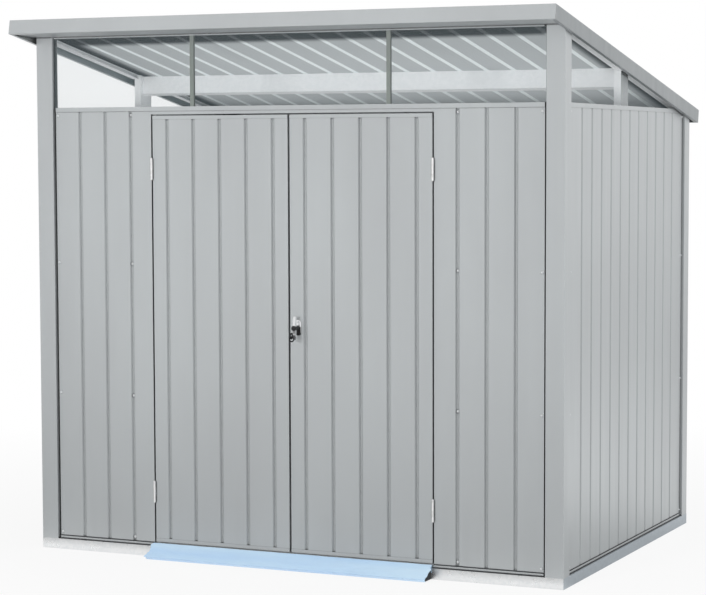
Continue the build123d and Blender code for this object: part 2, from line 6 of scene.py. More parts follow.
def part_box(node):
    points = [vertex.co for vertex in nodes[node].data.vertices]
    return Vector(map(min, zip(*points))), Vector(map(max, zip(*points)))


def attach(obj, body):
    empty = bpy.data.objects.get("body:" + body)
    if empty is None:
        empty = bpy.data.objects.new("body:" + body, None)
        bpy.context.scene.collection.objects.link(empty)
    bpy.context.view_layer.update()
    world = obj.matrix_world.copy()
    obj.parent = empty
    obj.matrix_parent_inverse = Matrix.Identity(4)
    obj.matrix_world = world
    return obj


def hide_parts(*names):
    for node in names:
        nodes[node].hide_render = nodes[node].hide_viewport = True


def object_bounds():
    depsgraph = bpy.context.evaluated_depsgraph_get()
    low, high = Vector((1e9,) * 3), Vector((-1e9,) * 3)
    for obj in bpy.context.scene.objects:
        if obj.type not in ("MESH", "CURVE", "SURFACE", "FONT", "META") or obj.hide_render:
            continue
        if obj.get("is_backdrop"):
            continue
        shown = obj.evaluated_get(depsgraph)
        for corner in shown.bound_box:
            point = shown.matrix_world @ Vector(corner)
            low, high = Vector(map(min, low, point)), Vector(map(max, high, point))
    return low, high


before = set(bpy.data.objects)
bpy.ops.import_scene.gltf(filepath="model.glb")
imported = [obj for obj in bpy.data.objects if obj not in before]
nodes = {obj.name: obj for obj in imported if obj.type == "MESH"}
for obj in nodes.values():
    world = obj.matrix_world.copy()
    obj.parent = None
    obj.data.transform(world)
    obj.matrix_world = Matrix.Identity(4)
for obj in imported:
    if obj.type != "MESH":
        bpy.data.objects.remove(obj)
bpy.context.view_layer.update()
bpy.ops.object.select_all(action="DESELECT")


# Base frame: four cold-rolled channels of bright galvanised steel that lie on the ground.
# They meet in mitres under the corner posts. The zinc shows a faint spangle; the side channels' darker, bluer
# grey is painted shade, standing for the dim reflection they show.
def new_finish(name, colour, metallic, roughness):
    """A material with one Principled shader; returns it with its node tree and shader."""
    material = bpy.data.materials.new(name)
    material.use_nodes = True
    tree = material.node_tree
    shader = tree.nodes["Principled BSDF"]
    shader.inputs["Base Color"].default_value = (*colour, 1)
    shader.inputs["Metallic"].default_value = metallic
    shader.inputs["Roughness"].default_value = roughness
    return material, tree, shader


def clouds(tree, scale, detail=3.0, stretch=(1, 1, 1)):
    """The factor of a noise on the object's own coordinates, stretched along its axes."""
    place = tree.nodes.new("ShaderNodeTexCoord")
    turn = tree.nodes.new("ShaderNodeMapping")
    turn.inputs["Scale"].default_value = stretch
    noise = tree.nodes.new("ShaderNodeTexNoise")
    noise.inputs["Scale"].default_value = scale
    noise.inputs["Detail"].default_value = detail
    tree.links.new(place.outputs["Object"], turn.inputs["Vector"])
    tree.links.new(turn.outputs["Vector"], noise.inputs["Vector"])
    return noise.outputs["Fac"]


def ranged(tree, value, start, end, low=0.0, high=1.0, smooth=False):
    """A number that goes from low to high as a value goes from start to end."""
    spread = tree.nodes.new("ShaderNodeMapRange")
    if smooth:
        spread.interpolation_type = "SMOOTHSTEP"
    spread.inputs["From Min"].default_value = start
    spread.inputs["From Max"].default_value = end
    spread.inputs["To Min"].default_value = low
    spread.inputs["To Max"].default_value = high
    tree.links.new(value, spread.inputs["Value"])
    return spread.outputs["Result"]


CLOUD_RANGE = (0.3, 0.7)


def shade_between(tree, factor, low, high, socket):
    """Colours a socket from one colour to another as the factor goes through its middle range."""
    ramp = tree.nodes.new("ShaderNodeValToRGB")
    for end, colour in enumerate((low, high)):
        ramp.color_ramp.elements[end].position = CLOUD_RANGE[end]
        ramp.color_ramp.elements[end].color = (*colour, 1)
    tree.links.new(factor, ramp.inputs["Fac"])
    tree.links.new(ramp.outputs["Color"], socket)


def range_between(tree, factor, low, high, socket):
    """Drives a number socket between two values as the factor goes through its middle range."""
    tree.links.new(ranged(tree, factor, *CLOUD_RANGE, low, high), socket)


def relief(tree, shader, heights):
    """Chains bumps, given as (factor, strength, depth in metres), into the shader's normal."""
    normal = None
    for factor, strength, depth in heights:
        bump = tree.nodes.new("ShaderNodeBump")
        bump.inputs["Strength"].default_value = strength
        bump.inputs["Distance"].default_value = depth
        tree.links.new(factor, bump.inputs["Height"])
        if normal:
            tree.links.new(normal, bump.inputs["Normal"])
        normal = bump.outputs["Normal"]
    tree.links.new(normal, shader.inputs["Normal"])


SPANGLE_SCALE, SPANGLE_DEPTH, ROLLED_WAVE_DEPTH = 90, 0.0003, 0.002


def spangled_zinc(name, pale, deep, roughness, metallic=0.25):
    """Hot-dip galvanised steel: flat crystals of slightly different grey under a soft shine."""
    material, tree, shader = new_finish(name, pale, metallic, roughness)
    place = tree.nodes.new("ShaderNodeTexCoord")
    crystals = tree.nodes.new("ShaderNodeTexVoronoi")
    crystals.inputs["Scale"].default_value = SPANGLE_SCALE
    tree.links.new(place.outputs["Object"], crystals.inputs["Vector"])
    grey = tree.nodes.new("ShaderNodeRGBToBW")
    tree.links.new(crystals.outputs["Color"], grey.inputs["Color"])
    spangle = grey.outputs["Val"]
    shade_between(tree, spangle, deep, pale, shader.inputs["Base Color"])
    dull_patches = clouds(tree, scale=25)
    range_between(tree, dull_patches, roughness - 0.06, roughness + 0.08, shader.inputs["Roughness"])
    waves = clouds(tree, scale=4, detail=1)
    relief(tree, shader, [(waves, 0.06, ROLLED_WAVE_DEPTH), (spangle, 0.03, SPANGLE_DEPTH)])
    return material


def dress(material, *names):
    """Gives CAD nodes a finish in place of their plain one."""
    for name in names:
        mesh = nodes[name].data
        mesh.materials.clear()
        mesh.materials.append(material)


base_zinc = spangled_zinc("base_zinc", (0.93, 0.94, 0.945), (0.88, 0.90, 0.91), 0.30, 0.85)
shaded_side_zinc = spangled_zinc("shaded_side_zinc", (0.44, 0.485, 0.52), (0.42, 0.46, 0.495), 0.42, 0.35)
dress(base_zinc, "base_rail_front", "base_rail_rear")
dress(shaded_side_zinc, "base_rail_left", "base_rail_right")


# Wall sheets, posts and trims: rolled steel with a baked silver-grey paint full of fine flake.
# The paint has a slight orange peel, and the rolled sheet a shallow waviness that bends its shine.
# The paint's colour is darkened as painted shade wherever other surfaces come near.
CORNER_SHADE_REACH, CORNER_SHADE_SAMPLES, CORNER_SHADE_RANGE = 0.010, 6, (0.67, 0.79)


def paint_corner_shade(tree, shader, darkest):
    """Paints shade into the colour where other surfaces come near, in grooves and corners."""
    colour = shader.inputs["Base Color"].links[0].from_socket
    near = tree.nodes.new("ShaderNodeAmbientOcclusion")
    near.samples = CORNER_SHADE_SAMPLES
    near.inputs["Distance"].default_value = CORNER_SHADE_REACH
    corner_shade_scale = tree.nodes.new("ShaderNodeVectorMath")
    corner_shade_scale.operation = "SCALE"
    tree.links.new(colour, corner_shade_scale.inputs[0])
    tree.links.new(ranged(tree, near.outputs["AO"], *CORNER_SHADE_RANGE, darkest), corner_shade_scale.inputs["Scale"])
    tree.links.new(corner_shade_scale.outputs["Vector"], shader.inputs["Base Color"])


PAINT_METALLIC, PAINT_COAT, PAINT_COAT_ROUGHNESS = 0.35, 0.18, 0.16
SHEET_WAVE_DEPTH, ORANGE_PEEL_DEPTH = 0.004, 0.0004


def silver_paint(name, pale, deep, roughness=0.42, groove_shade=0.15):
    """Baked metallic paint on rolled sheet, with painted shade in its grooves and corners."""
    material, tree, shader = new_finish(name, pale, PAINT_METALLIC, roughness)
    patches = clouds(tree, scale=2.2, detail=4, stretch=(1, 1, 0.5))
    shade_between(tree, patches, deep, pale, shader.inputs["Base Color"])
    streaks = clouds(tree, scale=30, detail=2, stretch=(1, 1, 0.04))
    range_between(tree, streaks, roughness - 0.05, roughness + 0.05, shader.inputs["Roughness"])
    shader.inputs["Coat Weight"].default_value = PAINT_COAT
    shader.inputs["Coat Roughness"].default_value = PAINT_COAT_ROUGHNESS
    waves = clouds(tree, scale=5, detail=1, stretch=(1, 1, 0.35))
    peel = clouds(tree, scale=900, detail=1)
    relief(tree, shader, [(waves, 0.12, SHEET_WAVE_DEPTH), (peel, 0.05, ORANGE_PEEL_DEPTH)])
    paint_corner_shade(tree, shader, groove_shade)
    return material


SILVER_PALE, SILVER_DEEP = (0.480, 0.505, 0.515), (0.450, 0.470, 0.480)
wall_paint = silver_paint("wall_paint", SILVER_PALE, SILVER_DEEP)
# The side walls take the same paint with lighter painted shade in their grooves.
side_paint = silver_paint("side_paint", SILVER_PALE, SILVER_DEEP, groove_shade=0.7)
dress(wall_paint, "front_left_wall", "front_right_wall", "rear_wall")
dress(side_paint, "left_wall", "right_wall")
dress(wall_paint, "front_left_post", "front_right_post", "rear_left_post", "rear_right_post")
dress(wall_paint, "wall_tracks", "front_sill_rail", "side_top_rails", "rear_top_rail", "door_header")


# Foot strips: black rubber strips along the foot of all four walls, which are painted shadow for the dark
# lines there. One lies under each track, and one between its lip and the wall sheet.
def rounded_bar(low, high, bevel, segments=2):
    """A bar between two corners with all its edges rounded over."""
    low, high = Vector(low), Vector(high)
    bpy.ops.object.select_all(action="DESELECT")
    bpy.ops.mesh.primitive_cube_add(size=1, location=(low + high) / 2)
    bar = bpy.context.object
    bar.scale = high - low
    bpy.ops.object.transform_apply(location=True, rotation=False, scale=True)
    bpy.ops.object.mode_set(mode="EDIT")
    bpy.ops.mesh.select_all(action="SELECT")
    bpy.ops.mesh.bevel(offset=bevel, segments=segments, affect="EDGES")
    bpy.ops.object.mode_set(mode="OBJECT")
    return bar


def joined(parts):
    """Joins parts into the first of them, which is left selected."""
    bpy.ops.object.select_all(action="DESELECT")
    for part in parts:
        part.select_set(True)
    bpy.context.view_layer.objects.active = parts[0]
    if len(parts) > 1:
        bpy.ops.object.join()
    return parts[0]


SMOOTH_ANGLE = math.radians(35)


def gather(name, parts, finish, body):
    """Joins parts into one finished piece that rides on a body."""
    piece = joined(parts)
    bpy.ops.object.shade_smooth_by_angle(angle=SMOOTH_ANGLE)
    piece.name = name
    piece.data.materials.clear()
    piece.data.materials.append(finish)
    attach(piece, body)


STRIP_HEIGHT, STRIP_DEPTH, STRIP_BITE, STRIP_ROUND = 0.0035, 0.003, 0.0004, 0.0008
SHEET_SETBACK = 0.0025
track_low, track_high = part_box("wall_tracks")
door_edge, front_end = (corner.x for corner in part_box("front_right_wall"))
side_start, side_end = (corner.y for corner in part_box("right_wall"))
whole_front = [(-front_end, front_end)]
beside_doorway = [(-front_end, -door_edge), (door_edge, front_end)]
shadow_strips = []
for level, out, inward, front_spans in ((track_low.z, STRIP_DEPTH, STRIP_BITE, whole_front),
                                        (track_high.z, STRIP_BITE, SHEET_SETBACK, beside_doorway)):
    strips = [((start, track_low.y - out), (end, track_low.y + inward)) for start, end in front_spans]
    strips.append(((-front_end, track_high.y - inward), (front_end, track_high.y + out)))
    strips.append(((-track_high.x - out, side_start), (-track_high.x + inward, side_end)))
    strips.append(((track_high.x - inward, side_start), (track_high.x + out, side_end)))
    for low, high in strips:
        shadow_strips.append(rounded_bar((*low, level), (*high, level + STRIP_HEIGHT), STRIP_ROUND))
# The black of these strips and of the ramp's wedges is painted shade.
rubber, rubber_tree, rubber_shader = new_finish("shadow_black_rubber", (0.030, 0.032, 0.034), 0.0, 0.75)
shade_between(rubber_tree, clouds(rubber_tree, scale=60), (0.022, 0.024, 0.026), (0.045, 0.047, 0.05),
              rubber_shader.inputs["Base Color"])
RUBBER_PORE_DEPTH = 0.0003
relief(rubber_tree, rubber_shader, [(clouds(rubber_tree, scale=900, detail=2), 0.2, RUBBER_PORE_DEPTH)])
gather("foot_shadow_strips", shadow_strips, rubber, "shed")


# Ramp: a folded steel plate over the doorway's sill, still under its pale blue protective film.
# The film is stuck down flat, with a few long creases and a wet shine, and its cut ends stand loose.
# A black rubber wedge inside each end of the plate is painted shade, which darkens the hollow there.
film, film_tree, film_shader = new_finish("ramp_film", (0.54, 0.76, 0.97), 0.0, 0.30)
shade_between(film_tree, clouds(film_tree, scale=9, detail=4, stretch=(0.12, 1, 1)), (0.48, 0.69, 0.95),
              (0.64, 0.83, 0.98), film_shader.inputs["Base Color"])
film_shader.inputs["Coat Weight"].default_value = 0.5
film_shader.inputs["Coat Roughness"].default_value = 0.12
FILM_RIPPLE_DEPTH = 0.0015
film_ripple = clouds(film_tree, scale=40, detail=2, stretch=(0.12, 1, 1))
relief(film_tree, film_shader, [(film_ripple, 0.25, FILM_RIPPLE_DEPTH)])
dress(film, "door_ramp")

RAMP_TOP, RAMP_EDGE, RAMP_REACH = 0.057, 0.010, 0.080
FILM_OVERHANG, FILM_LIFT, FILM_GAUGE = 0.002, 0.0012, 0.0003
FILM_CUTS = ((-1, (0.006, 0.001, -0.004, 0.002, 0.009)), (1, (-0.003, 0.002, 0.001, 0.004, -0.002)))
CUT_BAND, CUT_SLACK = 0.005, 0.001
CREASE_LENGTH, CREASE_HEIGHT, CREASE_LEVEL = 0.06, 0.0022, 0.35
ramp_low, ramp_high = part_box("door_ramp")
ramp_slope = math.atan2(RAMP_TOP - RAMP_EDGE, RAMP_REACH)
bpy.ops.object.select_all(action="DESELECT")
bpy.ops.mesh.primitive_grid_add(x_subdivisions=150, y_subdivisions=10, size=1)
film_sheet = bpy.context.object
film_length = ramp_high.x - ramp_low.x + 2 * FILM_OVERHANG
film_sheet.scale = (film_length, math.hypot(RAMP_REACH, RAMP_TOP - RAMP_EDGE), 1)
bpy.ops.object.transform_apply(location=False, rotation=False, scale=True)
film_half, film_width = film_sheet.dimensions.x / 2, film_sheet.dimensions.y


def pick(piece, wanted):
    """Opens a piece for editing with only the wanted vertices selected."""
    bpy.ops.object.select_all(action="DESELECT")
    piece.select_set(True)
    bpy.context.view_layer.objects.active = piece
    bpy.ops.object.mode_set(mode="EDIT")
    bpy.ops.mesh.select_mode(type="VERT")
    bpy.ops.mesh.select_all(action="DESELECT")
    bpy.ops.object.mode_set(mode="OBJECT")
    for corner in piece.data.vertices:
        corner.select = wanted(corner.co)
    bpy.ops.object.mode_set(mode="EDIT")


for side, offsets in FILM_CUTS:
    cut_width = film_width / len(offsets)
    for step, offset in enumerate(offsets):
        start = step * cut_width - film_width / 2 - CUT_SLACK
        pick(film_sheet, lambda co: side * co.x > film_half - CUT_BAND and start <= co.y < start + cut_width)
        bpy.ops.transform.translate(value=(side * offset, 0, 0))
        bpy.ops.object.mode_set(mode="OBJECT")
creases = bpy.data.textures.new("film_creases", "CLOUDS")
creases.noise_scale = CREASE_LENGTH
ripple = film_sheet.modifiers.new("creases", "DISPLACE")
ripple.texture = creases
ripple.texture_coords = "LOCAL"
ripple.strength = CREASE_HEIGHT
ripple.mid_level = CREASE_LEVEL
bpy.ops.object.modifier_apply(modifier="creases")
skin = film_sheet.modifiers.new("skin", "SOLIDIFY")
skin.thickness = FILM_GAUGE
bpy.ops.object.modifier_apply(modifier="skin")
film_middle = (0, (ramp_high.y + ramp_low.y) / 2, (RAMP_TOP + RAMP_EDGE) / 2 + FILM_LIFT)
film_sheet.data.transform(Matrix.Translation(film_middle) @ Matrix.Rotation(ramp_slope, 4, "X"))
gather("ramp_film_skin", [film_sheet], film, "shed")

WEDGE_LENGTH, WEDGE_INSET, WEDGE_ROUND = 0.045, 0.004, 0.001
WEDGE_FOOT, WEDGE_TOP, WEDGE_FALL = 0.0003, 0.052, 0.036
WEDGE_REACH, WEDGE_GAP = 0.064, 0.002
wedge_toe, wedge_heel = ramp_high.y - WEDGE_REACH, ramp_high.y - WEDGE_GAP
wedges = []
for side in (-1, 1):
    start, end = sorted(side * (ramp_high.x - WEDGE_INSET - length) for length in (0, WEDGE_LENGTH))
    wedge = rounded_bar((start, wedge_toe, WEDGE_FOOT), (end, wedge_heel, WEDGE_TOP), WEDGE_ROUND)
    pick(wedge, lambda co: co.z > WEDGE_TOP / 2 and co.y < (wedge_toe + wedge_heel) / 2)
    bpy.ops.transform.translate(value=(0, 0, -WEDGE_FALL))
    bpy.ops.object.mode_set(mode="OBJECT")
    wedges.append(wedge)
gather("ramp_wedges", wedges, rubber, "shed")


# Inner frame: roll-formed galvanised posts, beam, rafters and door jambs that carry the roof.
# They have the same zinc as the base, matt and pale where they never meet the weather.
# The rafters' and the posts' faces that look out at the sides carry painted shade, black on the rafters and
# grey on the posts.
def axes_of(tree, source):
    """The X, Y and Z of a place on the piece, or of the way its surface looks."""
    place = tree.nodes.new("ShaderNodeTexCoord")
    axes = tree.nodes.new("ShaderNodeSeparateXYZ")
    tree.links.new(place.outputs[source], axes.inputs["Vector"])
    return axes.outputs


def worked_out(tree, operation, *values):
    """The result of a sum or a test on sockets and plain numbers."""
    step = tree.nodes.new("ShaderNodeMath")
    step.operation = operation
    for socket, value in zip(step.inputs, values):
        if isinstance(value, (int, float)):
            socket.default_value = value
        else:
            tree.links.new(value, socket)
    return step.outputs["Value"]


def two_coats(tree, factor, first, second):
    """The first colour where the factor is 0 and the second where it is 1, as sockets or plain colours."""
    coats = tree.nodes.new("ShaderNodeMix")
    coats.data_type = "RGBA"
    tree.links.new(factor, coats.inputs["Factor"])
    for end, colour in (("A", first), ("B", second)):
        if isinstance(colour, tuple):
            coats.inputs[end].default_value = (*colour, 1)
        else:
            tree.links.new(colour, coats.inputs[end])
    return coats.outputs["Result"]


SIDE_TEST = 0.5


def shade_outer_faces(material, outer_shade):
    """Paints shade, in a given colour, on the faces that look out at the sides."""
    tree = material.node_tree
    shader = tree.nodes["Principled BSDF"]
    outward = worked_out(tree, "MULTIPLY", axes_of(tree, "Object")["X"], axes_of(tree, "Normal")["X"])
    outer = worked_out(tree, "GREATER_THAN", outward, SIDE_TEST)
    zinc = shader.inputs["Base Color"].links[0].from_socket
    tree.links.new(two_coats(tree, outer, zinc, outer_shade), shader.inputs["Base Color"])


INNER_PALE, INNER_DEEP, INNER_ROUGHNESS = (0.94, 0.95, 0.96), (0.90, 0.915, 0.925), 0.45
RAFTER_OUTER_SHADE, POST_OUTER_SHADE = (0.03, 0.032, 0.034), (0.36, 0.37, 0.375)
frame_zinc = spangled_zinc("frame_zinc", INNER_PALE, INNER_DEEP, INNER_ROUGHNESS)
dress(frame_zinc, "mid_beam", "door_jambs")
for name, outer_shade in (("rafters", RAFTER_OUTER_SHADE), ("mid_posts", POST_OUTER_SHADE)):
    outer_shaded_zinc = spangled_zinc(name + "_zinc", INNER_PALE, INNER_DEEP, INNER_ROUGHNESS)
    shade_outer_faces(outer_shaded_zinc, outer_shade)
    dress(outer_shaded_zinc, name)


# Roof: ribbed sheets with the walls' paint, held in a folded fascia with a soffit at the front.
# Underneath, the sheets keep the mill's paler backing coat, with a dark painted shadow of the fascia along
# the front and side walls, and white foam fills the ribs' hollows as a painted highlight for their lit
# flanks.
EDGE_SHADOW_FRONT, EDGE_SHADOW_SIDE, EDGE_SHADOW_END = (-0.640, -0.560), (1.060, 1.120), 1.196


def painted_edge_shadow(tree, dark, pale):
    """A colour that is dark near the front and side walls, as painted shadow of the fascia on the underside.
    """
    place = axes_of(tree, "Object")
    outward = worked_out(tree, "ABSOLUTE", place["X"])
    clear_of_front = ranged(tree, place["Y"], *EDGE_SHADOW_FRONT, smooth=True)
    clear_of_sides = ranged(tree, outward, *EDGE_SHADOW_SIDE, 1.0, 0.0, smooth=True)
    clear = worked_out(tree, "MULTIPLY", clear_of_front, clear_of_sides)
    overhang = worked_out(tree, "GREATER_THAN", outward, EDGE_SHADOW_END)
    return two_coats(tree, worked_out(tree, "MAXIMUM", clear, overhang), dark, pale)


ROOF_ROUGHNESS, BACKING_ROUGHNESS = 0.46, 0.90
roof_paint = silver_paint("roof_paint", (0.455, 0.480, 0.495), (0.425, 0.450, 0.465), ROOF_ROUGHNESS)
roof_tree = roof_paint.node_tree
roof_shader = roof_tree.nodes["Principled BSDF"]
top_coat = roof_shader.inputs["Base Color"].links[0].from_socket
backing_and_edge_shadow = painted_edge_shadow(roof_tree, (0.035, 0.037, 0.039), (0.51, 0.53, 0.54))
below = worked_out(roof_tree, "LESS_THAN", axes_of(roof_tree, "Normal")["Z"], 0.0)
roof_tree.links.new(two_coats(roof_tree, below, top_coat, backing_and_edge_shadow), roof_shader.inputs["Base Color"])
roof_shader.inputs["Specular IOR Level"].default_value = 0.1
range_between(roof_tree, below, PAINT_METALLIC, 0.0, roof_shader.inputs["Metallic"])
range_between(roof_tree, below, ROOF_ROUGHNESS, BACKING_ROUGHNESS, roof_shader.inputs["Roughness"])
range_between(roof_tree, below, PAINT_COAT, 0.0, roof_shader.inputs["Coat Weight"])
dress(roof_paint, "roof_left_sheet", "roof_middle_sheet", "roof_right_sheet")
# The right and rear fascias take a darker copy of the walls' paint, as painted shade.
shaded_fascia_paint = silver_paint("shaded_fascia_paint", (0.285, 0.305, 0.315), (0.268, 0.286, 0.295), groove_shade=1.0)
dress(wall_paint, "front_fascia", "left_fascia", "front_soffit", "front_head_rail")
dress(shaded_fascia_paint, "rear_fascia", "right_fascia")


def copies_by(pattern, moves):
    """Copies of a pattern, each with a mesh of its own that is moved by a matrix."""
    copies = []
    for move in moves:
        copy = bpy.data.objects.new(pattern.name, pattern.data.copy())
        copy.data.transform(move)
        bpy.context.scene.collection.objects.link(copy)
        copies.append(copy)
    return copies


ROOF_PITCH, ROOF_TOP_EDGE = math.radians(10.6), (0, -0.96998, 2.26462)
RIB_PITCH, RIBS_EACH_SIDE = 0.1235, 9
# White foam strips in the ribs' hollows are painted highlight, standing for the lit flanks of the ribs; their
# dark ends near the walls are painted shadow.
FILLER_START, FILLER_END, FILLER_TOP, FILLER_FOOT = 0.20, 1.84, -0.0125, -0.0242
FILLER_HALF, FILLER_TOP_HALF, FILLER_ROUND = 0.0115, 0.0045, 0.0006
filler_low, filler_high = (-FILLER_HALF, FILLER_START, FILLER_FOOT), (FILLER_HALF, FILLER_END, FILLER_TOP)
filler = rounded_bar(filler_low, filler_high, FILLER_ROUND)
pick(filler, lambda co: co.z > (FILLER_TOP + FILLER_FOOT) / 2)
bpy.ops.transform.resize(value=(FILLER_TOP_HALF / FILLER_HALF, 1, 1), center_override=(0, 0, FILLER_TOP))
bpy.ops.object.mode_set(mode="OBJECT")
on_roof = Matrix.Translation(ROOF_TOP_EDGE) @ Matrix.Rotation(-ROOF_PITCH, 4, "X")
rib_middles = [(rib + 0.5) * RIB_PITCH for rib in range(-RIBS_EACH_SIDE, RIBS_EACH_SIDE)]
fillers = copies_by(filler, [on_roof @ Matrix.Translation((x, 0, 0)) for x in rib_middles])
bpy.data.objects.remove(filler)
highlight_foam, foam_tree, foam_shader = new_finish("rib_highlight_foam", (0.94, 0.95, 0.955), 0.0, 0.8)
foam_tree.links.new(painted_edge_shadow(foam_tree, (0.08, 0.083, 0.086), (0.90, 0.95, 0.955)),
                    foam_shader.inputs["Base Color"])
range_between(foam_tree, clouds(foam_tree, scale=60), 0.7, 0.9, foam_shader.inputs["Roughness"])
FOAM_PORE_DEPTH = 0.0004
relief(foam_tree, foam_shader, [(clouds(foam_tree, scale=700, detail=2), 0.2, FOAM_PORE_DEPTH)])
gather("rib_highlight_fillers", fillers, highlight_foam, "shed")


# Glazing: clear acrylic panes under the roof, joined by slim grey-green plastic bars.
# The front panes' ends stand in slots in the posts. All are almost invisible but for a cool tint.
PANE_ALPHA, ACRYLIC_IOR, PANE_WAVE_DEPTH = 0.06, 1.49, 0.002
pane, pane_tree, pane_shader = new_finish("clear_pane", (0.34, 0.44, 0.48), 0.0, 0.04)
pane_shader.inputs["Alpha"].default_value = PANE_ALPHA
pane_shader.inputs["IOR"].default_value = ACRYLIC_IOR
relief(pane_tree, pane_shader, [(clouds(pane_tree, scale=4, detail=1), 0.05, PANE_WAVE_DEPTH)])
dress(pane, "front_panes", "side_panes")
bar, bar_tree, bar_shader = new_finish("glazing_bar", (0.19, 0.21, 0.20), 0.0, 0.42)
bar_streaks = clouds(bar_tree, scale=20, stretch=(1, 1, 0.2))
shade_between(bar_tree, bar_streaks, (0.17, 0.195, 0.18), (0.21, 0.23, 0.22), bar_shader.inputs["Base Color"])
dress(bar, "glazing_bars")


# Door leaves: the walls' ribbed sheet with capped top and bottom edges, hung on slim hinges.
# The hinges are bright zinc-plated steel, with a domed button pressed on each end of the pin.
STRAIGHT_UP = 0.99


def pick_top(piece):
    """Opens the active piece for editing with only the faces that look straight up selected."""
    bpy.ops.object.mode_set(mode="EDIT")
    bpy.ops.mesh.select_mode(type="FACE")
    bpy.ops.mesh.select_all(action="DESELECT")
    bpy.ops.object.mode_set(mode="OBJECT")
    for face in piece.data.polygons:
        face.select = face.normal.z > STRAIGHT_UP
    bpy.ops.object.mode_set(mode="EDIT")


def upright_disc(sides, radius, low, high, bevel, segments=2):
    """A round or many-sided disc between two levels with its upper edge rounded off."""
    bpy.ops.object.select_all(action="DESELECT")
    bpy.ops.mesh.primitive_cylinder_add(vertices=sides, radius=radius, depth=high - low,
                                        location=(0, 0, (low + high) / 2))
    disc = bpy.context.object
    bpy.ops.object.transform_apply(location=True)
    pick_top(disc)
    bpy.ops.mesh.bevel(offset=bevel, segments=segments, affect="EDGES")
    bpy.ops.object.mode_set(mode="OBJECT")
    return disc


def stood_at(point, direction):
    """The matrix that takes what stands on the ground to a point, with its top looking in a direction."""
    return Matrix.Translation(point) @ Vector(direction).to_track_quat("Z", "Y").to_matrix().to_4x4()


dress(wall_paint, "left_door_leaf", "right_door_leaf", "left_door_rails", "right_door_rails")
hinge_steel = spangled_zinc("hinge_steel", (0.86, 0.86, 0.85), (0.82, 0.82, 0.82), 0.28)
dress(hinge_steel, "frame_hinges", "left_door_hinges", "right_door_hinges")
HINGE_X, HINGE_LEVELS, HINGE_HALF, PIN_SETBACK = 0.639, (0.276, 1.640), 0.044, 0.0045
BUTTON_RADIUS, BUTTON_HEIGHT, BUTTON_ROUND = 0.0042, 0.0024, 0.0018
pin_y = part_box("frame_hinges")[0].y + PIN_SETBACK
button = upright_disc(20, BUTTON_RADIUS, 0, BUTTON_HEIGHT, BUTTON_ROUND, segments=4)
pin_ends = [stood_at((side * HINGE_X, pin_y, level + way * HINGE_HALF), (0, 0, way))
            for side in (-1, 1) for level in HINGE_LEVELS for way in (-1, 1)]
gather("hinge_buttons", copies_by(button, pin_ends), hinge_steel, "shed")
bpy.data.objects.remove(button)


# Latch: a domed escutcheon and a bowed turning lever of chromed die-cast zinc on the right leaf.
# The lever turns in a black plastic bush under a black cap, and the key in its lower half hangs a key ring.
# The spindle and the cam behind the leaf are plain nickel-plated steel.
def polished(name, colour, roughness):
    """Plated metal with faint differences of polish."""
    material, tree, shader = new_finish(name, colour, 1.0, roughness)
    rubbed = clouds(tree, scale=300, detail=2)
    range_between(tree, rubbed, roughness - 0.03, roughness + 0.06, shader.inputs["Roughness"])
    return material


chrome = polished("latch_chrome", (0.86, 0.87, 0.88), 0.09)
nickel = polished("latch_steel", (0.30, 0.30, 0.31), 0.22)
dress(nickel, "latch_cam", "latch_key", "latch_spindle")

RIM_DROP, RIM_ROUND = 0.0028, 0.0004
DOME_STEPS = ((0.0012, 0.0008), (0.0016, 0.0007), (0.0022, 0.0006), (0.0026, 0.0003))
plate_low, plate_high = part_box("latch_plate")
plate_middle = (plate_low + plate_high) / 2
plate_width, plate_depth, plate_height = plate_high - plate_low
escutcheon = upright_disc(48, plate_width / 2, 0, plate_depth - RIM_DROP, RIM_ROUND)
for way in (-1, 1):
    pick(escutcheon, lambda co: way * co.y > 0)
    bpy.ops.transform.translate(value=(0, way * (plate_height - plate_width) / 2, 0))
    bpy.ops.object.mode_set(mode="OBJECT")
pick_top(escutcheon)
for inset, rise in DOME_STEPS:
    bpy.ops.mesh.inset(thickness=inset, depth=rise)
bpy.ops.object.mode_set(mode="OBJECT")
on_leaf = Matrix.Translation((plate_middle.x, plate_high.y, plate_middle.z))
escutcheon.data.transform(on_leaf @ Matrix.Rotation(math.pi / 2, 4, "X"))
gather("latch_escutcheon", [escutcheon], chrome, "right_door")
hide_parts("latch_plate")

TO_FRONT = (0, -1, 0)


def stud(point, sides, radius, height, bevel, segments):
    """A round stud whose foot is at a point and whose rounded end looks to the front."""
    disc = upright_disc(sides, radius, 0, height, bevel, segments)
    disc.data.transform(stood_at(point, TO_FRONT))
    return disc


# Rings of the lever: share of the way to its end, share of width and of depth left, and bow back.
GRIP_RINGS = ((0.25, 0.80, 0.84, 0.0008), (0.50, 0.86, 0.74, 0.0015), (0.75, 0.90, 0.66, 0.0020),
              (1.00, 0.66, 0.46, 0.0032))
GRIP_CUTS, RING_SLACK = 7, 0.001
BARREL_RADIUS, BARREL_HEIGHT, BARREL_ROUND, BARREL_SINK = 0.0062, 0.0034, 0.0007, 0.0028
KEY_LEVEL = 0.963
grip_low, grip_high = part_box("latch_lever")
grip_middle, grip_half = (grip_low + grip_high) / 2, (grip_high.z - grip_low.z) / 2
bpy.ops.object.select_all(action="DESELECT")
bpy.ops.mesh.primitive_cube_add(size=1, location=grip_middle)
grip = bpy.context.object
grip.scale = grip_high - grip_low
bpy.ops.object.transform_apply(location=True, rotation=False, scale=True)
bpy.ops.object.mode_set(mode="EDIT")
bpy.ops.mesh.select_all(action="SELECT")
bpy.ops.mesh.subdivide(number_cuts=GRIP_CUTS)
bpy.ops.object.mode_set(mode="OBJECT")
